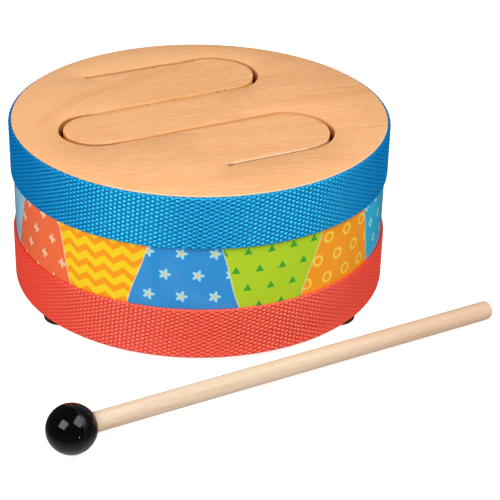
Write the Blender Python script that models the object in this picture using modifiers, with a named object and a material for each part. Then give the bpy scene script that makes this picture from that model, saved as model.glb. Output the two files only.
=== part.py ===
"""Tongue drum with its beater.

A round slit drum for a child: a beech plywood top with three tongues freed by
one continuous serpentine slot, a bent plywood shell in a printed sleeve, a
woven webbing band round each joint, a base with a sound hole, and four rubber
feet. The beater lies in front of it: a ball head on a dowel.

Units are metres, +Z is up, and the drum and the beater stand on z = 0.
The origin is under the middle of the whole group's box.
"""

import math

import bmesh
import bpy
from mathutils import Matrix, Vector

# ---------------------------------------------------------------- dimensions
SEG = 72                      # facets of every large ring
GAP = 0.0003                  # clearance between pieces that touch

FOOT_H = 0.0037               # rubber foot height
BASE_Z0 = FOOT_H + GAP        # underside of the base board
BASE_T = 0.0050
TOP_Z = 0.0972                # playing surface
BOARD_T = 0.0070
BOARD_R = 0.1029              # soundboard and base radius
ARRIS = 0.0005                # broken edge of the boards

SHELL_RO = 0.1024
SHELL_T = 0.0040
LINING_RO = SHELL_RO - SHELL_T - 0.0004
LINING_W = 0.0095
LINING_H = 0.0100

SLEEVE_RI = 0.1027
SLEEVE_T = 0.0003
SLEEVE_Z = (0.0140, 0.0870)

BAND_RI = 0.1033
BAND_T = 0.0013
BAND_W = 0.0290
LOWER_BAND_Z = 0.0038
UPPER_BAND_Z = 0.0677
BUTT = 0.0004                 # gap where a strip's two ends meet, at the back

SOUND_HOLE_R = 0.0250

# The slot, in plan, in the tongues' own axes: s along the tongues, n across
# them. Each straight is named by its n, and each round end by its centre's s.
TURN = math.radians(28.3)     # tongues' direction, anticlockwise from +X
SLOT_W = 0.0022
LINE_N = (0.0707, 0.0218, -0.0185, -0.0672)
RIGHT_S = 0.0304              # centre of the round ends on the right
LEFT_S = -0.0599              # centre of the round end on the left
SLOT_START_S = -0.0371        # blind end of the first straight
SLOT_END_S = -0.0151          # blind end of the last straight
BLIND_R = 0.0017              # drilled hole at each blind end
HINGE_S = {"rear": -0.0330, "middle": 0.0140, "front": -0.0130}
# Where the saw strays across from that ideal path, for each straight and the
# round ends next to it: (s, how far towards +n).
STRAY = (
    ((-0.0371, 0.0007), (0.0304, 0.0006), (0.0367, 0.0009), (0.0426, 0.0012),
     (0.0477, 0.0006), (0.0530, 0.0)),
    ((0.0304, 0.0), (0.0367, -0.0005), (0.0398, -0.0009), (0.0453, -0.0010),
     (0.0477, -0.0007), (0.0530, 0.0)),
    ((-0.0800, 0.0), (-0.0741, 0.0005), (-0.0599, 0.0002), (0.0304, 0.0004),
     (0.0336, 0.0006), (0.0367, 0.0014), (0.0426, 0.0018), (0.0476, 0.0021),
     (0.0515, 0.0024), (0.0539, 0.0018), (0.0547, 0.0)),
    ((-0.0151, 0.0006), (0.0304, 0.0003), (0.0400, 0.0)),
)

FOOT_R = 0.0100
FOOT_PCR = 0.0935             # feet's distance from the drum's axis
FOOT_ANGLES = {"front_left": -140.3, "front_right": -33.7,
               "rear_right": 39.7, "rear_left": 146.3}
SCREW_R = 0.0015
SCREW_LEN = 0.0140
HOLE_R = SCREW_R + GAP

BALL_R = 0.0125
STICK_R = 0.0052
STICK_EDGE = 0.0015           # rounding of the grip end
STICK_DEPTH = 0.0047          # how far the dowel runs past the ball's centre
BALL_XY = (-0.0525, -0.1821)  # from the drum's axis
STICK_END_XY = (0.1607, -0.0485)

# The group's box runs in X from the band's left to the grip end, and in Y
# from the ball's front to the band's back; its middle is the origin.
BAND_RO = BAND_RI + BAND_T
_d = Vector((STICK_END_XY[0] - BALL_XY[0], STICK_END_XY[1] - BALL_XY[1],
             STICK_R - BALL_R))
STICK_LEN = _d.length
STICK_DIR = _d.normalized()
_reach = (STICK_END_XY[0] - STICK_DIR.x * STICK_EDGE + STICK_EDGE
          + (STICK_R - STICK_EDGE) * math.sqrt(1 - STICK_DIR.x ** 2))
AXIS = Vector((-(_reach - BAND_RO) / 2, -(BALL_XY[1] - BALL_R + BAND_RO) / 2, 0))

# ------------------------------------------------------------------- colours
COLOURS = {
    "beech_plywood": ((0.88, 0.56, 0.30), 0.50, 0.0),
    "inner_plywood": ((0.72, 0.52, 0.33), 0.65, 0.0),
    "blue_webbing": ((0.01, 0.27, 0.60), 0.60, 0.0),
    "red_webbing": ((0.80, 0.07, 0.04), 0.60, 0.0),
    "print_film": ((0.55, 0.75, 0.20), 0.25, 0.0),
    "black_rubber": ((0.02, 0.02, 0.02), 0.70, 0.0),
    "zinc_steel": ((0.60, 0.60, 0.62), 0.35, 1.0),
    "pale_beech": ((0.80, 0.60, 0.40), 0.50, 0.0),
    "black_plastic": ((0.01, 0.01, 0.01), 0.08, 0.0),
}

# ------------------------------------------------------------- scene set-up
for old in list(bpy.data.objects):
    bpy.data.objects.remove(old, do_unlink=True)

parts = bpy.data.collections.new("tongue_drum")
cutters = bpy.data.collections.new("cutters")
cutters.hide_render = True
for group in (parts, cutters):
    bpy.context.scene.collection.children.link(group)

drum = bpy.data.objects.new("drum_axis", None)
drum.location = AXIS
parts.objects.link(drum)


def material(name):
    found = bpy.data.materials.get(name)
    if found:
        return found
    made = bpy.data.materials.new(name)
    made.use_nodes = True
    colour, rough, metal = COLOURS[name]
    shader = made.node_tree.nodes["Principled BSDF"]
    shader.inputs["Base Color"].default_value = (*colour, 1.0)
    shader.inputs["Roughness"].default_value = rough
    shader.inputs["Metallic"].default_value = metal
    made.diffuse_color = (*colour, 1.0)
    return made


def place(name, mesh, finish, location=(0, 0, 0), parent=drum):
    """A part: one named object in the drum's collection."""
    obj = bpy.data.objects.new(name, mesh)
    parts.objects.link(obj)
    obj.parent = parent
    obj.location = location
    mesh.materials.clear()
    mesh.materials.append(material(finish))
    return obj


def cutter(name, mesh, location=(0, 0, 0), parent=drum):
    obj = bpy.data.objects.new(name, mesh)
    cutters.objects.link(obj)
    obj.parent = parent
    obj.location = location
    obj.hide_render = True
    obj.display_type = "WIRE"
    return obj


def cut(obj, tool):
    step = obj.modifiers.new("cut_" + tool.name, "BOOLEAN")
    step.operation = "DIFFERENCE"
    step.solver = "EXACT"
    step.object = tool
    return step


def smooth(mesh):
    mesh.shade_smooth()
    mesh.set_sharp_from_angle(angle=math.radians(35))


def cylinder(name, radius, depth, z0=0.0, segments=SEG):
    """A cylinder mesh that stands on z0."""
    made = bmesh.new()
    bmesh.ops.create_cone(made, cap_ends=True, segments=segments,
                          radius1=radius, radius2=radius, depth=depth,
                          matrix=Matrix.Translation((0, 0, z0 + depth / 2)))
    mesh = bpy.data.meshes.new(name)
    made.to_mesh(mesh)
    made.free()
    smooth(mesh)
    return mesh


def turned(name, profile, finish, location=(0, 0, 0), parent=drum,
           segments=SEG, closed=True):
    """A turned part: the profile, (radius, z) from the top down its outer
    side, spun about its own Z axis."""
    mesh = bpy.data.meshes.new(name)
    edges = [(i, i + 1) for i in range(len(profile) - 1)]
    if closed:
        edges.append((len(profile) - 1, 0))
    mesh.from_pydata([(r, 0, z) for r, z in profile], edges, [])
    obj = place(name, mesh, finish, location, parent)
    spin = obj.modifiers.new("spin", "SCREW")
    spin.steps = spin.render_steps = segments
    spin.use_merge_vertices = True
    spin.merge_threshold = 0.00001
    # The spun shape becomes the mesh itself, so that its corners can be
    # marked sharp and its round sides smooth.
    graph = bpy.context.evaluated_depsgraph_get()
    spun = bpy.data.meshes.new_from_object(obj.evaluated_get(graph))
    obj.modifiers.clear()
    obj.data = spun
    spun.name = name
    smooth(spun)
    return obj


def ring(name, r_in, r_out, z0, z1, finish):
    return turned(name, [(r_out, z1), (r_out, z0), (r_in, z0), (r_in, z1)],
                  finish)


def outline_mesh(name, points, depth):
    """A flat outline, extruded from z = 0 up to depth."""
    curve = bpy.data.curves.new(name, "CURVE")
    curve.dimensions = "2D"
    curve.fill_mode = "BOTH"
    curve.extrude = depth / 2
    spline = curve.splines.new("POLY")
    spline.points.add(len(points) - 1)
    for point, (x, y) in zip(spline.points, points):
        point.co = (x, y, 0, 1)
    spline.use_cyclic_u = True
    holder = bpy.data.objects.new(name + "_outline", curve)
    parts.objects.link(holder)
    graph = bpy.context.evaluated_depsgraph_get()
    mesh = bpy.data.meshes.new_from_object(holder.evaluated_get(graph))
    bpy.data.objects.remove(holder, do_unlink=True)
    made = bmesh.new()
    made.from_mesh(mesh)
    bmesh.ops.remove_doubles(made, verts=made.verts, dist=0.00001)
    bmesh.ops.translate(made, verts=made.verts, vec=(0, 0, depth / 2))
    bmesh.ops.recalc_face_normals(made, faces=made.faces)
    made.to_mesh(mesh)
    made.free()
    mesh.name = name
    smooth(mesh)
    return mesh


# ---------------------------------------------------------- slot and tongues
def in_plan(s, n):
    """A point of the tongues' own axes in the drum's X and Y."""
    return (s * math.cos(TURN) - n * math.sin(TURN),
            s * math.sin(TURN) + n * math.cos(TURN))


def tongue_outline(which, grow, root_shift):
    """A tongue's outline: straight sides from its hinge line to its round
    end. grow moves the sides and the end out from the slot's middle line."""
    row = {"rear": 0, "middle": 1, "front": 2}[which]
    high, low = LINE_N[row], LINE_N[row + 1]
    radius = (high - low) / 2 + grow
    mid = (high + low) / 2
    right = which != "middle"
    centre = RIGHT_S if right else LEFT_S
    root = HINGE_S[which] + (root_shift if right else -root_shift)
    facets = 24
    points = []
    for i in range(facets + 1):
        a = math.pi * i / facets - math.pi / 2
        points.append((centre + radius * math.cos(a) * (1 if right else -1),
                       mid + radius * math.sin(a)))
    points.append((root, mid + radius))
    points.append((root, mid - radius))
    if not right:
        points.reverse()
    return [(s, n + stray(row if n > mid else row + 1, s)) for s, n in points]


def stray(line, s):
    """How far the straight of that row, or its round end, is off at s."""
    table = STRAY[line]
    if s <= table[0][0]:
        return table[0][1]
    for (s0, d0), (s1, d1) in zip(table, table[1:]):
        if s <= s1:
            return d0 + (d1 - d0) * (s - s0) / (s1 - s0)
    return table[-1][1]


def from_hinge(points, hinge):
    """The outline in plan, measured from the hinge's middle."""
    hx, hy = in_plan(*hinge)
    out = []
    for s, n in points:
        x, y = in_plan(s, n)
        out.append((x - hx, y - hy))
    return out


board_mesh = cylinder("soundboard", BOARD_R, BOARD_T)
soundboard = place("soundboard", board_mesh, "beech_plywood",
                   (0, 0, TOP_Z - BOARD_T))
edge = soundboard.modifiers.new("arris", "BEVEL")
edge.width = ARRIS
edge.segments = 1
edge.limit_method = "ANGLE"
edge.angle_limit = math.radians(60)

OVER = 0.002                  # how far a cutter runs past each face
for which in ("rear", "middle", "front"):
    window = outline_mesh("window_" + which,
                          [in_plan(*p) for p in
                           tongue_outline(which, SLOT_W / 2, 0.0)],
                          BOARD_T + 2 * OVER)
    cut(soundboard, cutter("window_" + which, window,
                           (0, 0, TOP_Z - BOARD_T - OVER)))

# The slot runs on past the rear and the front hinge line to its blind ends.
for tag, line, end_s, hinge_s in (("start", 0, SLOT_START_S, HINGE_S["rear"]),
                                  ("end", 3, SLOT_END_S, HINGE_S["front"])):
    h = SLOT_W / 2
    n = LINE_N[line] + stray(line, end_s)
    strip = outline_mesh("slot_" + tag,
                         [in_plan(end_s, n - h), in_plan(hinge_s + 0.001, n - h),
                          in_plan(hinge_s + 0.001, n + h), in_plan(end_s, n + h)],
                         BOARD_T + 2 * OVER)
    cut(soundboard, cutter("slot_" + tag, strip,
                           (0, 0, TOP_Z - BOARD_T - OVER)))
    x, y = in_plan(end_s, n)
    hole = cylinder("blind_" + tag, BLIND_R, BOARD_T + 2 * OVER, segments=20)
    cut(soundboard, cutter("blind_" + tag, hole,
                           (x, y, TOP_Z - BOARD_T - OVER)))

for which in ("rear", "middle", "front"):
    row = {"rear": 0, "middle": 1, "front": 2}[which]
    hinge = (HINGE_S[which], (LINE_N[row] + LINE_N[row + 1]) / 2)
    points = from_hinge(tongue_outline(which, -SLOT_W / 2, GAP), hinge)
    mesh = outline_mesh(which + "_tongue", points, BOARD_T)
    for vertex in mesh.vertices:
        vertex.co.z -= BOARD_T / 2
    x, y = in_plan(*hinge)
    place(which + "_tongue", mesh, "beech_plywood",
          (x, y, TOP_Z - BOARD_T / 2))

# ------------------------------------------------------------ shell and base
BASE_Z1 = BASE_Z0 + BASE_T
SHELL_Z0 = BASE_Z1 + GAP
SHELL_Z1 = TOP_Z - BOARD_T - GAP

ring("shell_hoop", SHELL_RO - SHELL_T, SHELL_RO, SHELL_Z0, SHELL_Z1,
     "inner_plywood")
ring("top_lining_hoop", LINING_RO - LINING_W, LINING_RO,
     SHELL_Z1 - LINING_H, SHELL_Z1, "inner_plywood")
bottom_lining = ring("bottom_lining_hoop", LINING_RO - LINING_W, LINING_RO,
                     SHELL_Z0, SHELL_Z0 + LINING_H, "inner_plywood")

base = place("base_board", cylinder("base_board", BOARD_R, BASE_T),
             "inner_plywood", (0, 0, BASE_Z0))
edge = base.modifiers.new("arris", "BEVEL")
edge.width = ARRIS
edge.segments = 1
edge.limit_method = "ANGLE"
edge.angle_limit = math.radians(60)
cut(base, cutter("sound_hole", cylinder("sound_hole", SOUND_HOLE_R,
                                        BASE_T + 2 * OVER, segments=48),
                 (0, 0, BASE_Z0 - OVER)))

# ------------------------------------------------------- sleeve and webbings
# Each strip goes once round, and its two ends meet at the back.
butt_mesh = bpy.data.meshes.new("butt")
box = bmesh.new()
bmesh.ops.create_cube(box, size=1.0, matrix=Matrix.Diagonal(
    (BUTT, 0.006, TOP_Z + 0.02, 1.0)))
box.to_mesh(butt_mesh)
box.free()
butt_tool = cutter("butt", butt_mesh, (0, BAND_RI, TOP_Z / 2))

for strip in (
        ring("printed_sleeve", SLEEVE_RI, SLEEVE_RI + SLEEVE_T, *SLEEVE_Z,
             "print_film"),
        ring("upper_webbing", BAND_RI, BAND_RO, UPPER_BAND_Z,
             UPPER_BAND_Z + BAND_W, "blue_webbing"),
        ring("lower_webbing", BAND_RI, BAND_RO, LOWER_BAND_Z,
             LOWER_BAND_Z + BAND_W, "red_webbing")):
    cut(strip, butt_tool)

# ----------------------------------------------------------------- the feet
RECESS_R = 0.0052
RECESS_Z = 0.0024
foot_profile = [
    (FOOT_R - 0.0005, FOOT_H), (FOOT_R, FOOT_H - 0.0005),
    (FOOT_R - 0.0001, 0.0009), (FOOT_R - 0.0010, 0.0), (RECESS_R, 0.0),
    (RECESS_R, RECESS_Z), (HOLE_R, RECESS_Z), (HOLE_R, FOOT_H)]
WASHER_Z = (0.0016, RECESS_Z - GAP)
washer_profile = [(0.0046, WASHER_Z[1]), (0.0046, WASHER_Z[0]),
                  (HOLE_R, WASHER_Z[0]), (HOLE_R, WASHER_Z[1])]
HEAD_Z = (0.0004, WASHER_Z[0] - GAP)
screw_profile = [
    (0.0, HEAD_Z[1] + SCREW_LEN), (SCREW_R * 0.35, HEAD_Z[1] + SCREW_LEN - 0.0006),
    (SCREW_R, HEAD_Z[1] + SCREW_LEN - 0.0030), (SCREW_R, HEAD_Z[1]),
    (0.0030, HEAD_Z[1]), (0.0030, HEAD_Z[0] + 0.0004),
    (0.0024, HEAD_Z[0]), (0.0, HEAD_Z[0])]

for where, angle in FOOT_ANGLES.items():
    a = math.radians(angle)
    spot = (FOOT_PCR * math.cos(a), FOOT_PCR * math.sin(a), 0)
    turned("foot_" + where, foot_profile, "black_rubber", spot, segments=24)
    turned("foot_washer_" + where, washer_profile, "zinc_steel", spot,
           segments=16)
    turned("foot_screw_" + where, screw_profile, "zinc_steel", spot,
           segments=12, closed=False)
    drill = cylinder("drill_" + where, HOLE_R, 0.030, segments=16)
    tool = cutter("drill_" + where, drill, (spot[0], spot[1], -0.001))
    cut(base, tool)
    cut(bottom_lining, tool)

# --------------------------------------------------------------- the beater
# Its own axis is +Z from the ball's centre to the grip end.
beater = bpy.data.objects.new("beater_axis", None)
parts.objects.link(beater)
beater.location = AXIS + Vector((*BALL_XY, BALL_R))
beater.rotation_mode = "QUATERNION"
beater.rotation_quaternion = STICK_DIR.to_track_quat("Z", "Y")

stick_profile = [(0.0, STICK_LEN)]
for i in range(4):
    a = math.radians(30 * i)
    stick_profile.append((STICK_R - STICK_EDGE + STICK_EDGE * math.sin(a),
                          STICK_LEN - STICK_EDGE + STICK_EDGE * math.cos(a)))
stick_profile += [(STICK_R, -STICK_DEPTH + 0.0008),
                  (STICK_R - 0.0008, -STICK_DEPTH), (0.0, -STICK_DEPTH)]
turned("mallet_stick", stick_profile, "pale_beech", parent=beater,
       segments=24, closed=False)

ball = bmesh.new()
bmesh.ops.create_uvsphere(ball, u_segments=28, v_segments=16, radius=BALL_R)
ball_mesh = bpy.data.meshes.new("mallet_head")
ball.to_mesh(ball_mesh)
ball.free()
smooth(ball_mesh)
head = place("mallet_head", ball_mesh, "black_plastic", parent=beater)
socket = cylinder("socket", STICK_R + GAP, 2 * BALL_R,
                  z0=-STICK_DEPTH - GAP, segments=24)
cut(head, cutter("socket", socket, parent=beater))
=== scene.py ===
import math

import bmesh
import bpy
import numpy as np
from mathutils import Matrix, Vector
from mathutils.geometry import delaunay_2d_cdt


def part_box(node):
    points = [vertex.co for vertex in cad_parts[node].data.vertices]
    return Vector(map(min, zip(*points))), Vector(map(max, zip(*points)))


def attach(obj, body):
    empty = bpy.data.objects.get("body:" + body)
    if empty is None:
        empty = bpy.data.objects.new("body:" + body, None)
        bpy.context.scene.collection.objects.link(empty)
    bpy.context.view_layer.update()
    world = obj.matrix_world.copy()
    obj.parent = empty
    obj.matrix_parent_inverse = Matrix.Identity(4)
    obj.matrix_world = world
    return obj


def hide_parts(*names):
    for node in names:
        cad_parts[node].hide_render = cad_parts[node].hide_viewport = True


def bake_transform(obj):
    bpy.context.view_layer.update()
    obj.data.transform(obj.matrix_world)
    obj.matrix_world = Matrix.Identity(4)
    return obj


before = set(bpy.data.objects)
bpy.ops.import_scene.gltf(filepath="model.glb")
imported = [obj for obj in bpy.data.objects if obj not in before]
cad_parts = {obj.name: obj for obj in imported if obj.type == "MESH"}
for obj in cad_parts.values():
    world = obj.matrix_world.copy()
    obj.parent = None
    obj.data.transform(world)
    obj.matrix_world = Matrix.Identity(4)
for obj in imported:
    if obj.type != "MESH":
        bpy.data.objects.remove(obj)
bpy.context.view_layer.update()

# =========================================================================
# What the construction says, in metres. Plans below are in millimetres,
# measured from the drum's axis.
# =========================================================================
MM = 0.001
_lo, _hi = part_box("base_board")
AXIS = Vector(((_lo.x + _hi.x) / 2, (_lo.y + _hi.y) / 2, 0.0))

TURN = math.radians(28.3)
COS, SIN = math.cos(TURN), math.sin(TURN)
TOP_Z, BOARD_T, BOARD_R = 97.2, 7.0, 102.9
SLOT_H = 1.1                                  # half of the slot's width
LINES = (70.7, 21.8, -18.5, -67.2)            # the four straights
RIGHT_S, LEFT_S = 30.4, -59.9
START_S, END_S, BLIND_R = -37.1, -15.1, 1.7
HINGE = {"rear": -33.0, "middle": 14.0, "front": -13.0}
BAND_RI, BAND_RO, BAND_W = 103.3, 104.6, 29.0
LOWER_Z, UPPER_Z, BUTT = 3.8, 67.7, 0.4
FOOT_PCR = 93.5
FEET = {"front_left": -140.3, "front_right": -33.7,
        "rear_right": 39.7, "rear_left": 146.3}
BALL_R, STICK_R, STICK_DEPTH = 12.5, 5.2, 4.7
BALL_XY, STICK_END_XY = (-52.5, -182.1), (160.7, -48.5)

scene = bpy.context.scene


# =========================================================================
# Node trees, written as arithmetic
# =========================================================================
class Val:
    """A number that varies over a surface: one output of a node tree."""

    def __init__(self, tree, sock):
        self.tree, self.sock = tree, sock

    def op(self, kind, *others, clamp=False):
        node = self.tree.t.nodes.new("ShaderNodeMath")
        node.operation, node.use_clamp = kind, clamp
        for i, value in enumerate((self, *others)):
            self.tree.put(value, node.inputs[i])
        return Val(self.tree, node.outputs[0])

    def __add__(self, o): return self.op("ADD", o)
    def __radd__(self, o): return self.op("ADD", o)
    def __mul__(self, o): return self.op("MULTIPLY", o)
    def __rmul__(self, o): return self.op("MULTIPLY", o)
    def __sub__(self, o): return self.op("SUBTRACT", o)
    def __rsub__(self, o): return (self * -1.0).op("ADD", o)
    def __truediv__(self, o): return self.op("DIVIDE", o)
    def sin(self): return self.op("SINE")
    def cos(self): return self.op("COSINE")
    def abs(self): return self.op("ABSOLUTE")
    def sqrt(self): return self.op("SQRT")
    def fract(self): return self.op("FRACT")
    def floor(self): return self.op("FLOOR")
    def min(self, o): return self.op("MINIMUM", o)
    def max(self, o): return self.op("MAXIMUM", o)
    def pow(self, o): return self.op("POWER", o)
    def atan2(self, o): return self.op("ARCTAN2", o)

    def ramp(self, lo, hi, to_lo=0.0, to_hi=1.0, smooth=True):
        """Rises from to_lo at lo to to_hi at hi."""
        node = self.tree.t.nodes.new("ShaderNodeMapRange")
        node.interpolation_type = "SMOOTHSTEP" if smooth else "LINEAR"
        node.clamp = True
        for i, value in enumerate((self, lo, hi, to_lo, to_hi)):
            self.tree.put(value, node.inputs[i])
        return Val(self.tree, node.outputs[0])


class Tree:
    """A material in the making."""

    def __init__(self, name):
        self.mat = bpy.data.materials.new(name)
        self.mat.use_nodes = True
        self.t = self.mat.node_tree
        self.shader = self.t.nodes["Principled BSDF"]
        self.output = self.t.nodes["Material Output"]

    def put(self, value, sock):
        if isinstance(value, (Val, Vec)):
            self.t.links.new(value.sock, sock)
        elif isinstance(value, bpy.types.NodeSocket):
            self.t.links.new(value, sock)
        elif isinstance(value, (tuple, list, Vector)):
            want = len(sock.default_value)
            sock.default_value = (tuple(value) + (1.0,) * 4)[:want]
        else:
            sock.default_value = value

    def val(self, number):
        node = self.t.nodes.new("ShaderNodeValue")
        node.outputs[0].default_value = number
        return Val(self, node.outputs[0])

    def place(self, origin=(0, 0, 0), scale=1000.0):
        """(x, y, z) in millimetres from origin, in the piece's own frame."""
        coords = self.t.nodes.new("ShaderNodeTexCoord")
        sub = self.t.nodes.new("ShaderNodeVectorMath")
        sub.operation = "SUBTRACT"
        self.t.links.new(coords.outputs["Object"], sub.inputs[0])
        sub.inputs[1].default_value = tuple(origin)
        grow = self.t.nodes.new("ShaderNodeVectorMath")
        grow.operation = "SCALE"
        self.t.links.new(sub.outputs[0], grow.inputs[0])
        grow.inputs["Scale"].default_value = scale
        return Vec(self, grow.outputs[0])

    def along_stick(self):
        """(x, y, z) in millimetres in the beater's own frame: z runs along the
        dowel from the ball's centre."""
        p = self.place(BEATER.translation)
        axes = [BEATER.to_3x3().col[i] for i in range(3)]
        return self.vec(*(p.dot(tuple(a)) for a in axes))

    def vec(self, x, y, z=0.0):
        node = self.t.nodes.new("ShaderNodeCombineXYZ")
        for i, value in enumerate((x, y, z)):
            self.put(value, node.inputs[i])
        return Vec(self, node.outputs[0])

    def noise(self, vec, scale=1.0, detail=2.0, rough=0.5, warp=0.0, lac=2.0):
        node = self.t.nodes.new("ShaderNodeTexNoise")
        node.noise_dimensions = "3D"
        self.put(vec, node.inputs["Vector"])
        node.inputs["Scale"].default_value = scale
        node.inputs["Detail"].default_value = detail
        node.inputs["Roughness"].default_value = rough
        node.inputs["Lacunarity"].default_value = lac
        node.inputs["Distortion"].default_value = warp
        return Val(self, node.outputs[0])

    def noise_vec(self, vec, scale=1.0, detail=2.0):
        node = self.t.nodes.new("ShaderNodeTexNoise")
        self.put(vec, node.inputs["Vector"])
        node.inputs["Scale"].default_value = scale
        node.inputs["Detail"].default_value = detail
        return Vec(self, node.outputs[1])

    def voronoi(self, vec, scale=1.0, feature="F1", randomness=1.0, out="Distance"):
        node = self.t.nodes.new("ShaderNodeTexVoronoi")
        node.feature = feature
        self.put(vec, node.inputs["Vector"])
        node.inputs["Scale"].default_value = scale
        node.inputs["Randomness"].default_value = randomness
        return Val(self, node.outputs[out])

    def mix(self, fac, a, b, kind="MIX"):
        """A colour from a to b."""
        node = self.t.nodes.new("ShaderNodeMix")
        node.data_type, node.blend_type = "RGBA", kind
        self.put(fac, node.inputs[0])
        self.put(a, node.inputs[6])
        self.put(b, node.inputs[7])
        return node.outputs[2]

    def stops(self, fac, *stops, kind="LINEAR"):
        """A colour from a list of (position, colour)."""
        node = self.t.nodes.new("ShaderNodeValToRGB")
        node.color_ramp.interpolation = kind
        ramp = node.color_ramp.elements
        while len(ramp) < len(stops):
            ramp.new(0.5)
        for spot, (where, colour) in zip(ramp, stops):
            spot.position = where
            spot.color = (*colour, 1.0)
        self.put(fac, node.inputs[0])
        return node.outputs[0]

    def bump(self, height, strength=0.3, distance=0.0002, normal=None):
        node = self.t.nodes.new("ShaderNodeBump")
        node.inputs["Strength"].default_value = strength
        node.inputs["Distance"].default_value = distance
        self.put(height, node.inputs["Height"])
        if normal is not None:
            self.t.links.new(normal, node.inputs["Normal"])
        return node.outputs[0]

    def finish(self, colour, rough, normal=None, **sockets):
        self.put(colour, self.shader.inputs["Base Color"])
        self.put(rough, self.shader.inputs["Roughness"])
        if normal is not None:
            self.t.links.new(normal, self.shader.inputs["Normal"])
        for key, value in sockets.items():
            self.put(value, self.shader.inputs[key.replace("_", " ")])
        return self.mat


class Vec:
    def __init__(self, tree, sock):
        self.tree, self.sock = tree, sock

    def op(self, kind, other, out=0):
        node = self.tree.t.nodes.new("ShaderNodeVectorMath")
        node.operation = kind
        self.tree.put(self, node.inputs[0])
        if kind == "SCALE":
            self.tree.put(other, node.inputs["Scale"])
        else:
            self.tree.put(other, node.inputs[1])
        found = node.outputs[out]
        return Val(self.tree, found) if found.type == "VALUE" else Vec(self.tree, found)

    def __add__(self, o): return self.op("ADD", o)
    def __sub__(self, o): return self.op("SUBTRACT", o)
    def __mul__(self, o): return self.op("MULTIPLY", o)
    def scale(self, o): return self.op("SCALE", o)
    def dot(self, o): return self.op("DOT_PRODUCT", o, out="Value")

    def xyz(self):
        node = self.tree.t.nodes.new("ShaderNodeSeparateXYZ")
        self.tree.put(self, node.inputs[0])
        return tuple(Val(self.tree, o) for o in node.outputs)


def lin(r, g, b):
    """A colour given as 0-255 screen values, made linear."""
    out = []
    for c in (r, g, b):
        c = c / 255.0
        out.append(c / 12.92 if c <= 0.04045 else ((c + 0.055) / 1.055) ** 2.4)
    return tuple(out)


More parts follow.
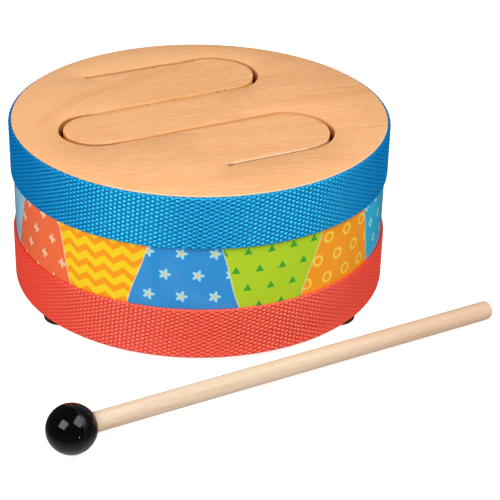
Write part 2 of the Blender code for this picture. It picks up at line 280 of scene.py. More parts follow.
# =========================================================================
# Materials
# =========================================================================
def beech_plywood():
    """The top: rotary-cut beech veneer over thin plies. Its figure is a family
    of arches round the left rear that run out into straight grain, with fine
    dashes and two redder streaks."""
    t = Tree("beech_plywood")
    p = t.place(AXIS)
    x, y, z = p.xyz()
    sway = t.noise_vec(p, scale=0.020, detail=1.0) - (0.5, 0.5, 0.5)
    q = p + sway * (5.0, 5.0, 0.0)
    axis = math.radians(14.0)
    off = q - (-65.0, -30.0, 0.0)
    u = off.dot((math.cos(axis), math.sin(axis), 0.0))
    v = off.dot((-math.sin(axis), math.cos(axis), 0.0))
    r = (u * u + v * v).sqrt()
    arch = ((r - u).max(0.0)).sqrt() * 12.0      # arches opening to the right
    side = v.ramp(-14.0, 8.0)
    g = arch * side - v * (1.0 - side)           # straight grain below them
    # Broad bands, thin lines, dashes and pores, all laid along the figure.
    broad = t.noise(t.vec(g * 0.13, u * 0.008, 3.1), detail=2.0, rough=0.55)
    lines = t.noise(t.vec(g * 0.62, u * 0.020, 7.7), detail=3.0, rough=0.62)
    dash = t.noise(t.vec(g * 1.30, u * 0.085, 1.3), detail=1.0, rough=0.5)
    dash2 = t.noise(t.vec(g * 1.35, u * 0.10, 11.3), detail=0.0)
    pore = t.noise(t.vec(g * 3.0, u * 0.25, 5.2), detail=0.0)
    cloud = t.noise(p, scale=0.018, detail=2.0)
    tone = (broad.ramp(0.25, 0.75) * 0.34 + lines.ramp(0.3, 0.7) * 0.42
            + cloud.ramp(0.3, 0.7) * 0.24)
    calm = u.ramp(-30.0, 12.0, 0.35, 1.0)        # quieter left of the arches' focus
    colour = t.stops((tone - 0.5) * calm + 0.5,
                     (0.05, (0.880, 0.428, 0.184)), (0.36, (0.930, 0.468, 0.206)),
                     (0.62, (0.960, 0.494, 0.222)), (0.95, (0.985, 0.526, 0.244)))
    # The two redder streaks, and the rear tongue's warmer tint.
    one = (g - 73.0).abs().ramp(10.0, 1.0) * v.ramp(4.0, 16.0) * u.ramp(-42.0, -8.0)
    two = (g - 17.0).abs().ramp(5.5, 1.0) * u.ramp(90.0, 128.0) * v.ramp(-2.0, 4.0)
    red = (one * u.ramp(105.0, 40.0) + two) * (lines * 0.9 + broad * 0.8)
    colour = t.mix(red.ramp(0.05, 0.95, 0.0, 0.42), colour, (0.76, 0.320, 0.122))
    rx = (x + 34.0) / 46.0
    ry = (y - 42.0) / 32.0
    warm = (rx * rx + ry * ry).ramp(1.6, 0.1)
    colour = t.mix(warm * 0.18, colour, (0.84, 0.385, 0.150))
    colour = t.mix(dash.ramp(0.55, 0.70) * calm * 0.34, colour, (0.70, 0.315, 0.125))
    colour = t.mix(dash2.ramp(0.56, 0.72) * calm * 0.34, colour, (1.00, 0.650, 0.375))
    colour = t.mix(pore.ramp(0.62, 0.74) * calm * 0.30, colour, (0.58, 0.255, 0.105))
    back = ((x * 0.75 - y * 0.65) * -1.0).ramp(35.0, 95.0)
    colour = t.mix(back * 0.55, colour, (1.0, 0.560, 0.270))
    # The slot's broken edges: darker brown on most of their run, paler on the last straight,
    # on the board's rim and where an edge faces right. The pale edges are partly fresh wood
    # and partly a painted highlight where the chamfers catch the lights.
    geometry = t.t.nodes.new("ShaderNodeNewGeometry")
    nx, ny, nz = Vec(t, geometry.outputs["True Normal"]).xyz()
    depth = (z * -1.0) + TOP_Z
    across = y * COS - x * SIN                   # n of the tongues' own axes
    along = x * COS + y * SIN
    radius = (x * x + y * y).sqrt()
    rim = radius.ramp(101.2, 101.8)
    last = across.ramp(-60.0, -62.5)
    pale = (rim * 0.25).max(last).max(nx.ramp(0.20, 0.35) * (1.0 - rim * 0.75))
    arris = nz.ramp(0.985, 0.95) * nz.ramp(0.15, 0.30) * depth.ramp(1.2, 0.9)
    # painted highlight on the pale edges, partly fresh wood
    colour = t.mix(arris * pale * 0.75, colour, (0.97, 0.720, 0.500))
    colour = t.mix(arris * (1.0 - pale.max(rim)) * 0.42, colour, (0.52, 0.230, 0.090))
    # Plies show on the slot's walls and the rim: the face veneer over darker and lighter
    # layers. Each straight's wall is also coloured as it looks under the lights: darker in
    # patches on the first and the third straight, painted light as a warm orange lit wall on
    # the second and the third, painted shade in the left bend, and paler and greyer on the
    # last.
    ply = (depth / 2.8).fract()
    cross = ply.ramp(0.50, 0.54) * ply.ramp(1.0, 0.97)
    rough_cut = t.noise(p, scale=1.9, detail=3.0)
    patch_noise = t.noise(p, scale=0.075, detail=2.0)
    cut_colour = t.mix(cross, (0.84, 0.400, 0.140), (0.56, 0.235, 0.080))
    cut_colour = t.mix(rough_cut.ramp(0.35, 0.7) * 0.45, cut_colour, (0.52, 0.215, 0.070))
    first = across.ramp(46.0, 60.0) * (1.0 - rim)
    third = across.ramp(2.0, -10.0) * across.ramp(-44.0, -30.0) * (1.0 - rim)
    bend = along.ramp(-50.0, -61.0) * across.ramp(50.0, 44.0) * (1.0 - rim)
    dark_patches = (first.max(third * 0.8)) * patch_noise.ramp(0.25, 0.55, 0.55, 1.0)
    cut_colour = t.mix(dark_patches * 0.07, cut_colour, (0.20, 0.075, 0.032))
    # painted light: the third straight's wall is lit warm orange
    cut_colour = t.mix(third * 0.60, cut_colour, (1.0, 0.480, 0.150))
    # painted light: the second straight's wall is lit warm orange
    painted_lit_wall = across.ramp(4.0, 10.0) * across.ramp(40.0, 32.0) * (1.0 - rim)
    cut_colour = t.mix(painted_lit_wall * 0.65, cut_colour, (1.0, 0.560, 0.170))
    # painted shade on the wall in the left bend
    cut_colour = t.mix(bend * rough_cut.ramp(0.30, 0.65, 0.60, 0.88), cut_colour,
                       (0.55, 0.180, 0.050))
    cut_colour = t.mix(last * 0.5, cut_colour, (0.62, 0.400, 0.250))
    wall = nz.ramp(0.25, 0.10) * nz.ramp(-0.9, -0.5)
    colour = t.mix(wall, colour, cut_colour)
    # chipped places are dark with dust and shadow
    chip = (nz.ramp(0.95, 0.90) * nz.ramp(0.10, 0.20) * depth.ramp(0.16, 0.24)
            * depth.ramp(3.0, 2.5) * (1.0 - last) * (1.0 - rim))
    colour = t.mix(chip * 0.88, colour, (0.55, 0.205, 0.060))
    relief = lines * 0.5 + dash * 0.35 + pore * 0.25
    return t.finish(colour, dash.ramp(0.3, 0.7, 0.46, 0.58),
                    t.bump(relief, 0.22, 0.00012),
                    Specular_IOR_Level=0.35, Coat_Weight=0.06,
                    Coat_Roughness=0.35)


def inner_plywood():
    """Bare plywood of the shell, hoops and base: long grain round the drum on
    the hoops' faces, plies on their edges."""
    t = Tree("inner_plywood")
    p = t.place(AXIS)
    x, y, z = p.xyz()
    warp = t.noise_vec(p, scale=0.03, detail=1.0) - (0.5, 0.5, 0.5)
    q = p + warp * (6.0, 6.0, 6.0)
    grain = t.noise(q * (0.03, 0.5, 0.9), detail=4.0, rough=0.6)
    fleck = t.noise(q * (0.25, 2.6, 3.2), detail=1.0)
    radius = (x * x + y * y).sqrt()
    ply = ((radius + z) / 1.25).fract().ramp(0.46, 0.52)
    colour = t.stops(grain, (0.30, (0.50, 0.29, 0.14)), (0.50, (0.66, 0.42, 0.22)),
                     (0.72, (0.75, 0.51, 0.29)))
    colour = t.mix(fleck.ramp(0.58, 0.70) * 0.4, colour, (0.38, 0.20, 0.09))
    # The layers show only where a face cuts across them, near an edge.
    node = t.t.nodes.new("ShaderNodeNewGeometry")
    nx, ny, nz = Vec(t, node.outputs["Normal"]).xyz()
    side = (radius - 94.0).ramp(0.0, 2.0) * nz.abs().ramp(0.7, 0.9)
    colour = t.mix(ply * side * 0.5, colour, (0.34, 0.18, 0.08))
    return t.finish(colour, grain.ramp(0.3, 0.7, 0.60, 0.78),
                    t.bump(grain + fleck * 0.5, 0.35, 0.0002),
                    Specular_IOR_Level=0.3)


def base_plywood():
    """The underside: rotary-cut veneer with long soft arches."""
    t = Tree("base_plywood")
    p = t.place(AXIS)
    x, y, z = p.xyz()
    warp = t.noise_vec(p, scale=0.018, detail=1.5) - (0.5, 0.5, 0.5)
    q = p + warp * (16.0, 16.0, 0.0)
    a = q.dot((0.93, -0.37, 0.0))
    b = q.dot((0.37, 0.93, 0.0))
    rings = (b * b * 0.25 + 60.0).sqrt() - a * 0.12
    grain = t.noise(t.vec(rings * 0.8, a * 0.03, 2.0), detail=4.0, rough=0.6)
    dash = t.noise(t.vec(rings * 2.6, a * 0.2, 9.0), detail=1.0)
    colour = t.stops(grain, (0.28, (0.56, 0.31, 0.14)), (0.5, (0.71, 0.43, 0.22)),
                     (0.75, (0.79, 0.52, 0.29)))
    colour = t.mix(dash.ramp(0.56, 0.70) * 0.35, colour, (0.42, 0.21, 0.09))
    ply = (z / 1.67).fract().ramp(0.44, 0.52)
    radius = (x * x + y * y).sqrt()
    edge = radius.ramp(BOARD_R - 0.3, BOARD_R - 0.1) + radius.ramp(25.4, 25.1)
    colour = t.mix(ply * edge * 0.7, colour, (0.33, 0.17, 0.08))
    return t.finish(colour, dash.ramp(0.3, 0.7, 0.55, 0.72),
                    t.bump(grain + dash * 0.5, 0.3, 0.0002),
                    Specular_IOR_Level=0.3)


def webbing_finish(name, z0, weave, pit, deep, base, bright, tint, ior, rough):
    """Polypropylene webbing: each float is a flat bundle of clear filaments
    that run round the drum, so its tinted gloss spreads across the band."""
    t = Tree(name)
    p = t.place(AXIS + Vector((0, 0, z0 * MM)))
    x, y, v = p.xyz()
    u = x.atan2(y * -1.0) * BAND_RO
    warp, lean = weave
    long, high = FLOAT_U, FLOAT_V * warp
    # where this point lies on the float of its column, in millimetres
    fu, fv = (u - (v - BAND_W / 2) * lean) / PICK, v / warp
    column = (fu + 0.5).floor()
    du = (fu - column) * PICK
    turn = (fv - column + 1.0) * 0.5
    dv = ((turn - turn.floor()) * 2.0 - 1.0) * warp
    row = (turn.floor() * 2.0 + column * 0.37)
    own = 1.0 - (du.abs() / long).pow(2.6) - (dv.abs() / high).pow(2.0)
    beside = (1.0 - ((PICK - du.abs()) / long).pow(2.6)
              - ((warp - dv.abs()) / high).pow(2.0))
    crown = own.max(beside).max(0.0).sqrt()
    each = t.noise(t.vec(column * 0.71, row, 4.0), scale=1.7, detail=0.0)
    bundle = t.noise(t.vec(u * 0.35, v * 9.0, 2.0), detail=2.0, rough=0.7)
    worn = t.noise(t.vec(u * 0.02, v * 0.09, 8.0), detail=2.0)
    # pulled flatter between the front and either side, with painted shade there: darker pits
    # and a deeper colour towards the far sides
    turned = (u / BAND_RO).abs()
    pulled_and_shaded = turned.ramp(0.55, 0.93) * turned.ramp(1.58, 1.28)
    far = turned.ramp(0.78, 1.10) * turned.ramp(1.52, 1.24)
    # painted shade in the pits between floats and painted highlight on their crowns: the
    # colour follows each float's height, and darkens towards the sides
    colour = t.stops(crown * (1.0 - pulled_and_shaded * 0.16), (0.05, pit), (0.38, deep),
                     (0.72, base), (1.0, bright))
    shade = (each - 0.5) * 0.30 + (bundle - 0.5) * 0.35 + (worn - 0.5) * 0.20
    colour = t.mix(shade.ramp(0.0, 0.25, 0.0, 0.35), colour, bright)
    colour = t.mix(shade.ramp(0.0, -0.25, 0.0, 0.35), colour, deep)
    # painted highlight on the selvedges: their colour is lifted towards the base colour
    edge = (v - BAND_W / 2).abs().ramp(BAND_W / 2 - 1.3, BAND_W / 2 - 0.5)
    colour = t.mix(edge * 0.35, colour, base)
    # no two floats lie quite alike
    lie = t.noise(t.vec(column * 1.37, row * 1.9, 9.0), scale=1.3, detail=0.0)
    hold = 1.0 - (du.abs() / (PICK / 2)).pow(4.0)
    shape = crown + (lie - 0.5) * du * hold * own.max(0.0) * 0.6
    shape = shape * (1.0 - pulled_and_shaded * 0.50) * (1.0 - far * 0.35)
    # painted shade: darker pits between the front and the sides, and a deeper colour towards
    # either far side
    colour = t.mix(pulled_and_shaded * crown.ramp(0.60, 0.20) * 0.15, colour, pit)
    colour = t.mix(far * 0.42, colour, tuple(0.78 * a + 0.22 * b
                                             for a, b in zip(deep, base)))
    tangent = t.t.nodes.new("ShaderNodeTangent")
    tangent.direction_type, tangent.axis = "RADIAL", "Z"
    t.t.links.new(tangent.outputs[0], t.shader.inputs["Tangent"])
    return t.finish(colour, bundle.ramp(0.3, 0.7, rough - 0.05, rough + 0.05) + pulled_and_shaded * 0.22,
                    t.bump(bundle, 0.35, 0.00010,
                           normal=t.bump(shape, 1.0, FULLER * MM)),
                    IOR=ior, Specular_IOR_Level=0.70, Specular_Tint=tint,
                    Anisotropic=0.85, Anisotropic_Rotation=0.25)


def print_film():
    """The sleeve: a glossy printed film with a generic patchwork of leaning
    panels, each with one small repeated motif."""
    t = Tree("print_film")
    p = t.place(AXIS)
    x, y, z = p.xyz()
    u = x.atan2(y * -1.0) * 103.0
    v = z - 50.3
    period = 2 * math.pi * 103.0 / 2.0
    w = ((u + 118.0) / period).fract() * period     # 0..323.6, twice round

    cream = lin(252, 246, 214)
    soft = 0.10

    def lattice(cu, cv, du=0.0, dv=0.0):
        """Local coordinates in staggered cells."""
        rowf = (v + dv) / cv
        rown = rowf.floor()
        b = (rowf - rown - 0.5) * cv
        shift = (rown * 0.5).fract() * cu
        a = (((w + du + shift) / cu).fract() - 0.5) * cu
        return a, b

    def ink(mask, ground, colour):
        return t.mix(mask, ground, colour)

    # cream plus signs on orange-red
    a, b = lattice(15.0, 11.5, 2.0, 1.5)
    long1, long2 = a.abs().max(b.abs()), a.abs().min(b.abs())
    plus = long1.ramp(2.7, 2.7 - soft) * long2.ramp(0.85, 0.85 - soft)
    coral = ink(plus, lin(250, 112, 62), lin(255, 206, 168))

    # orange zigzags on yellow
    saw = ((w / 11.0).fract() - 0.5).abs() * 8.0
    zig = ((v + saw + 20.0) / 8.2).fract()
    zig = (zig - 0.5).abs().ramp(0.235, 0.225)
    sun = ink(zig, lin(255, 214, 20), lin(255, 160, 20))

    # pale daisies on mid blue
    a, b = lattice(17.0, 12.4, 6.0, 4.2)
    r = (a * a + b * b).sqrt()
    turn = b.atan2(a)
    petals = ((turn * 5.0).cos() * 0.85 + 2.55)
    bloom = (petals - r).ramp(0.0, soft)
    heart = r.ramp(0.95, 0.95 - soft)
    sea = ink(bloom, lin(48, 146, 216), lin(168, 224, 244))
    sea = ink(heart, sea, lin(250, 205, 60))

    # dark green triangles on lime
    a, b = lattice(12.5, 10.5, 3.0, 0.8)
    tri = (a.abs() * 1.75 + b - 2.0).ramp(0.0, -soft * 2) * b.ramp(-2.2, -2.1)
    leaf = ink(tri, lin(180, 214, 34), lin(60, 168, 52))

    # yellow rings on amber
    a, b = lattice(14.0, 11.8, 1.0, 6.0)
    r = (a * a + b * b).sqrt()
    ringm = (r - 2.7).abs().ramp(0.62, 0.62 - soft)
    amber = ink(ringm, lin(255, 160, 22), lin(255, 224, 80))

    # white lozenges on cyan
    a, b = lattice(13.0, 12.0, 5.0, 2.0)
    loz = a.abs() * 1.25 + b.abs()
    lozm = loz.ramp(3.0, 3.0 - soft) * loz.ramp(1.45, 1.45 + soft)
    pool = ink(lozm, lin(34, 188, 230), lin(205, 242, 252))

    # leaning pale stripes on sky blue
    lean = ((w * 0.8 + v) / 7.4).fract()
    lean = (lean - 0.5).abs().ramp(0.25, 0.24)
    sky = ink(lean, lin(108, 202, 238), lin(190, 228, 246))

    edges = (0.0, 45.0, 90.0, 138.0, 184.0, 229.0, 277.0)
    leans = (0.32, -0.30, 0.26, -0.34, 0.30, -0.26, 0.34)
    grounds = (coral, sun, sea, leaf, amber, pool, sky)
    colour = grounds[-1]
    line = None
    for edge, slope, ground in zip(edges, leans, grounds):
        # a gently bowed border, about straight across the visible height
        border = v * slope + (v * 0.11).sin() * 1.2 + edge
        gap = w - border
        if edge == 0.0:
            # the first border also closes the repeat
            colour = t.mix(gap.ramp(0.0, soft), colour, ground)
            near = gap.abs().min((gap - period).abs())
            late = (w - (border + period)).ramp(0.0, soft)
            first = ground
        else:
            colour = t.mix(gap.ramp(0.0, soft), colour, ground)
            near = gap.abs()
        mask = near.ramp(0.38, 0.38 - soft)
        line = mask if line is None else line.max(mask)
    colour = t.mix(late, colour, first)
    colour = t.mix(line * 0.50, colour, cream)
    wrap = t.noise(t.vec(u * 0.03, v * 0.02, 1.0), detail=2.0)
    smear = t.noise(p, scale=0.25, detail=2.0)
    return t.finish(colour, smear.ramp(0.3, 0.7, 0.13, 0.20),
                    t.bump(wrap * 6.0, 0.20, 0.0002),
                    Specular_IOR_Level=0.5, Coat_Weight=0.10,
                    Coat_Roughness=0.08)


def black_rubber():
    t = Tree("black_rubber")
    p = t.place()
    grit = t.noise(p, scale=3.0, detail=4.0, rough=0.7)
    dust = t.noise(p, scale=0.4, detail=3.0)
    colour = t.mix(dust.ramp(0.45, 0.75) * 0.5, (0.012, 0.012, 0.012),
                   (0.045, 0.043, 0.040))
    return t.finish(colour, grit.ramp(0.3, 0.7, 0.48, 0.66),
                    t.bump(grit, 0.3, 0.0001), Specular_IOR_Level=0.5)


def zinc_steel():
    t = Tree("zinc_steel")
    p = t.place()
    fine = t.noise(p, scale=6.0, detail=3.0, rough=0.7)
    bloom = t.noise(p, scale=1.2, detail=2.0)
    colour = t.stops(bloom, (0.3, (0.50, 0.51, 0.53)), (0.55, (0.66, 0.67, 0.69)),
                     (0.75, (0.62, 0.60, 0.52)))
    return t.finish(colour, fine.ramp(0.3, 0.7, 0.26, 0.42),
                    t.bump(fine, 0.15, 0.00005), Metallic=1.0)


def pale_beech():
    """The dowel. z runs along it, from the ball's centre to the grip end."""
    t = Tree("pale_beech")
    p = t.along_stick()
    x, y, z = p.xyz()
    sway = t.noise_vec(p * (1.0, 1.0, 0.12), scale=0.10, detail=1.0) - (0.5, 0.5, 0.5)
    q = p + sway * (3.2, 3.2, 0.0)
    qx, qy, qz = q.xyz()
    broad = t.noise(t.vec(qx * 0.20, qy * 0.26, z * 0.014), detail=2.0)
    lines = t.noise(t.vec(qx * 0.95, qy * 0.8, z * 0.020), detail=2.0, rough=0.6)
    dash = t.noise(t.vec(qx * 2.6, qy * 2.4, z * 0.16), detail=1.0)
    pore = t.noise(t.vec(qx * 6.0, qy * 6.0, z * 0.45), detail=0.0)
    blush = t.noise(t.vec(x * 0.05, y * 0.05, z * 0.022), detail=1.0)
    tone = broad.ramp(0.3, 0.7) * 0.55 + lines.ramp(0.3, 0.7) * 0.45
    colour = t.stops(tone, (0.05, (0.72, 0.510, 0.345)), (0.40, (0.775, 0.585, 0.410)),
                     (0.70, (0.805, 0.625, 0.452)), (1.0, (0.830, 0.665, 0.498)))
    colour = t.mix(z.ramp(105.0, 245.0) * 0.66, colour, (0.70, 0.440, 0.270))
    colour = t.mix(blush.ramp(0.42, 0.66) * 0.30, colour, (0.80, 0.56, 0.430))
    # redder streaks, most of them near the ball
    warm = t.noise(t.vec(qx * 0.8, qy * 0.8, z * 0.035 + 3.0), detail=1.0)
    colour = t.mix(warm.ramp(0.52, 0.68) * z.ramp(150.0, 25.0, 0.12, 0.34), colour,
                   (0.70, 0.430, 0.300))
    colour = t.mix(dash.ramp(0.57, 0.72) * 0.22, colour, (0.52, 0.310, 0.185))
    colour = t.mix(pore.ramp(0.64, 0.74) * 0.25, colour, (0.42, 0.240, 0.135))
    # End grain on the grip end: darker, with rings and open pores.
    end = z.ramp(STICK_LEN - 0.7, STICK_LEN - 0.2)
    ex = x + 7.0
    ring = (((ex * ex + y * y).sqrt() + lines * 1.2) / 1.5).fract()
    tips = t.voronoi(t.vec(x * 1.0, y * 1.0, 0.0), scale=3.0)
    grain = t.mix(ring.ramp(0.2, 0.8), (0.62, 0.40, 0.23), (0.74, 0.52, 0.33))
    grain = t.mix(tips.ramp(0.30, 0.12) * 0.5, grain, (0.40, 0.23, 0.12))
    colour = t.mix(end, colour, grain)
    relief = lines * 0.6 + dash * 0.4 + pore * 0.4
    return t.finish(colour, dash.ramp(0.3, 0.7, 0.50, 0.64),
                    t.bump(relief, 0.30, 0.00015), Specular_IOR_Level=0.35)


def black_plastic():
    """The ball: polished, with faint swirls, and duller on the grip's side of
    its moulding line."""
    t = Tree("black_plastic")
    p = t.along_stick()
    x, y, z = p.xyz()
    swirl = t.noise(p, scale=0.14, detail=1.0)
    haze = t.noise(p, scale=0.5, detail=3.0, rough=0.6)
    rub = t.noise(p * (1.0, 1.0, 6.0), scale=0.9, detail=3.0)
    colour = t.mix(haze.ramp(0.4, 0.8) * 0.4, (0.0015, 0.0015, 0.0018),
                   (0.006, 0.006, 0.006))
    seam = (z - SEAM_Z).abs().ramp(0.30, 0.05)
    colour = t.mix(seam * 0.7, colour, (0.034, 0.032, 0.030))
    # a pale speck below the lights' reflections: a small flaw in the gloss, painted pale as
    # a glint
    nick_glint = (p - NICK_GLINT).dot(p - NICK_GLINT).ramp(0.075, 0.020)
    colour = t.mix(nick_glint, colour, (0.62, 0.61, 0.58))
    grip = z.ramp(SEAM_Z, SEAM_Z + 0.4)
    # the side that strikes, turned up and to the back here, is scuffed
    struck = p.dot(STRUCK).ramp(8.0, 11.0)
    rough = (haze.ramp(0.35, 0.75, 0.055, 0.12) + grip * 0.20
             + seam * 0.22 + rub.ramp(0.60, 0.75) * 0.05 + struck * 0.16)
    return t.finish(colour, rough, t.bump(swirl * 3.0 + rub * 0.02, 0.25, 0.0005),
                    Specular_IOR_Level=0.26)


# The weave's own measures: floats are one pick long and two warps high.
N_PICKS = 264
PICK = 2 * math.pi * BAND_RO / N_PICKS
# a row's height in millimetres, and how far the picks lean over
WEAVE = {"blue": (BAND_W / 25.0, 0.074), "red": (BAND_W / 25.5, 0.099)}
FLOAT_U, FLOAT_V = 1.52, 0.80                 # half a float's length, and height in rows
RELIEF = 0.52                                 # how far a float stands out
FULLER = 0.38                                 # how much rounder each float is
SEAM_Z = 1.3                                  # the ball's moulding line
NICK_GLINT = (-12.01, 2.98, -1.74)                  # on the ball, in the beater's frame

_far = Vector((STICK_END_XY[0] - BALL_XY[0], STICK_END_XY[1] - BALL_XY[1],
               STICK_R - BALL_R))
STICK_LEN = _far.length
STICK_DIR = _far.normalized()
BEATER = (Matrix.Translation(AXIS + Vector((BALL_XY[0], BALL_XY[1], BALL_R)) * MM)
          @ STICK_DIR.to_track_quat("Z", "Y").to_matrix().to_4x4())
STRUCK = tuple(BEATER.to_3x3().inverted() @ Vector((0.10, 0.66, 0.745)))

MAT = {
    "top": beech_plywood(),
    "inner": inner_plywood(),
    "base": base_plywood(),
    "blue": webbing_finish("blue_webbing", UPPER_Z, WEAVE["blue"],
                           (0.000, 0.034, 0.180), (0.000, 0.148, 0.520),
                           (0.000, 0.300, 0.860), (0.000, 0.400, 1.000),
                           (0.085, 0.84, 1.0), 3.2, 0.42),
    "red": webbing_finish("red_webbing", LOWER_Z, WEAVE["red"],
                          (0.900, 0.028, 0.013), (1.000, 0.055, 0.028),
                          (1.000, 0.086, 0.045), (1.000, 0.128, 0.080),
                          (1.0, 0.55, 0.42), 2.0, 0.42),
    "print": print_film(),
    "rubber": black_rubber(),
    "zinc": zinc_steel(),
    "stick": pale_beech(),
    "ball": black_plastic(),
}


# =========================================================================
# Pieces
# =========================================================================
def add(name, verts, faces, mat, body, node, slot, matrix=None, angle=35.0,
        blend=None):
    """A finished mesh that stands for a CAD node. verts are in millimetres,
    from the drum's axis, or from matrix's own origin."""
    mesh = bpy.data.meshes.new(name)
    pts = np.asarray(verts, float) * MM
    if matrix is None:
        matrix = Matrix.Translation(AXIS)
    m = np.array(matrix)
    mesh.from_pydata((pts @ m[:3, :3].T + m[:3, 3]).tolist(), [], faces)
    fixed = bmesh.new()
    fixed.from_mesh(mesh)
    bmesh.ops.recalc_face_normals(fixed, faces=fixed.faces)
    fixed.to_mesh(mesh)
    fixed.free()
    mesh.shade_smooth()
    mesh.set_sharp_from_angle(angle=math.radians(angle))
    obj = bpy.data.objects.new(name, mesh)
    scene.collection.objects.link(obj)
    mesh.materials.append(mat)
    if blend is None:
        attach(obj, body)
    else:
        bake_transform(obj)
    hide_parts(node)
    return obj


def spin(profile, count, closed=True):
    """A profile of (radius, z), spun about Z. Its ends may be on the axis."""
    verts, faces, rows = [], [], []
    for r, z in profile:
        if abs(r) < 1e-9:
            rows.append([len(verts)])
            verts.append((0.0, 0.0, z))
        else:
            rows.append(list(range(len(verts), len(verts) + count)))
            for i in range(count):
                a = 2 * math.pi * i / count
                verts.append((r * math.cos(a), r * math.sin(a), z))
    pairs = list(zip(rows, rows[1:]))
    if closed:
        pairs.append((rows[-1], rows[0]))
    for one, two in pairs:
        for i in range(count):
            j = (i + 1) % count
            if len(one) == 1 and len(two) == 1:
                continue
            if len(one) == 1:
                faces.append((one[0], two[i], two[j]))
            elif len(two) == 1:
                faces.append((one[i], two[0], one[j]))
            else:
                faces.append((one[i], two[i], two[j], one[j]))
    return verts, faces


def fillet(points, radii, steps=4):
    """Rounds a closed profile's corners."""
    out = []
    count = len(points)
    for i in range(count):
        prev, here, nxt = (Vector(points[i - 1]), Vector(points[i]),
                           Vector(points[(i + 1) % count]))
        r = radii[i]
        if r <= 0:
            out.append(tuple(here))
            continue
        a, b = (prev - here).normalized(), (nxt - here).normalized()
        half = a.angle(b) / 2
        run = r / math.tan(half)
        middle = here + (a + b).normalized() * (r / math.sin(half))
        start, stop = here + a * run, here + b * run
        for k in range(steps + 1):
            f = k / steps
            guess = start.lerp(stop, f) - middle
            out.append(tuple(middle + guess.normalized() * r))
    return out


def wobble(t, seed, size=1.0):
    """A small, smooth, repeatable unevenness."""
    return size * (0.5 * np.sin(t * 1.31 + seed) + 0.3 * np.sin(t * 2.77 + 2.1 * seed)
                   + 0.2 * np.sin(t * 5.9 + 3.7 * seed))


# ---------------------------------------------------------------- the top
class Outline:
    """Points in plan with, for each, the way into the wood, the depth of a
    chip there, and the size of the broken edge."""

    def __init__(self):
        self.p, self.n, self.chip, self.edge = [], [], [], []

    def put(self, s, n, ds, dn, chip=0.0, edge=0.10, fuzz=0.05):
        length = math.hypot(ds, dn) or 1.0
        ds, dn = ds / length, dn / length
        t = s * 1.9 + n * 2.3
        w = float(wobble(t, 0.7 + dn)) * fuzz
        self.p.append((s + ds * w, n + dn * w))
        self.n.append((ds, dn))
        self.chip.append(chip)
        self.edge.append(edge)

    def line(self, s0, s1, n, dn, chips=(), bend=None, ends=(True, True),
             edge=0.10):
        """A straight wall at n, whose wood lies towards dn. A chip is
        (s, half width, depth)."""
        count = max(2, int(abs(s1 - s0) / 0.55))
        for i in range(count + 1):
            if (i == 0 and not ends[0]) or (i == count and not ends[1]):
                continue
            s = s0 + (s1 - s0) * i / count
            depth = 0.0
            for where, half, most in chips:
                far = abs(s - where) / half
                if far < 1:
                    depth = max(depth, most * (1 - far) ** 0.7)
            shift = bend(s) if bend else 0.0
            held = i in (0, count)
            self.put(s, n + shift, 0.0, dn, depth, edge, 0.0 if held else 0.05)

    def arc(self, cs, cn, r, a0, a1, way, step=0.6, out=None):
        count = max(8, int(abs(math.radians(a1 - a0)) * r / step))
        for i in range(1, count):
            turn = a0 + (a1 - a0) * i / count
            a = math.radians(turn)
            far = r + (out(turn) if out else 0.0)
            self.put(cs + far * math.cos(a), cn + far * math.sin(a),
                     way * math.cos(a), way * math.sin(a))

    def joint(self, s, n0, n1):
        """A hinge line, where the wood runs on: no broken edge."""
        count = max(2, int(abs(n1 - n0) / 2.0))
        for i in range(1, count):
            self.put(s, n0 + (n1 - n0) * i / count, 0.0, 1.0, edge=0.0, fuzz=0.0)


def plan(points):
    s, n = np.asarray(points, float).T
    return np.stack([s * COS - n * SIN, s * SIN + n * COS], 1)


# Where the saw strays from that ideal path, in millimetres. Along a straight:
# (s, how far towards +n).
STRAY = (
    ((-37.1, 0.40), (-32.0, 0.25), (-28.0, 0.25), (-20.0, 0.05), (-12.0, 0.10),
     (-4.0, 0.10), (2.0, 0.30), (8.0, 0.35), (12.0, 0.00), (16.0, -0.25),
     (20.0, -0.60), (24.0, -0.45), (28.0, -0.15), (30.4, 0.25)),
    ((-59.9, -0.35), (-52.0, -0.75), (-44.0, -0.55), (-40.0, -0.15), (-32.0, -0.15),
     (-28.0, -0.05), (-20.0, -0.45), (-12.0, 0.15), (0.0, -0.10), (8.0, -0.20),
     (16.0, -0.05), (26.0, 0.25), (30.4, 0.00)),
    ((-59.9, 0.05), (-52.0, 0.10), (-44.0, -0.15), (-28.0, -0.20), (-20.0, 0.20),
     (-4.0, 0.10), (4.0, -0.10), (12.0, 0.12), (24.0, 0.12), (30.4, 0.25)),
    ((-15.1, 0.60), (-10.0, 0.60), (-4.0, 0.72), (2.0, 0.72), (10.0, 0.50),
     (18.0, 0.33), (24.0, 0.50), (30.4, 0.35)),
)
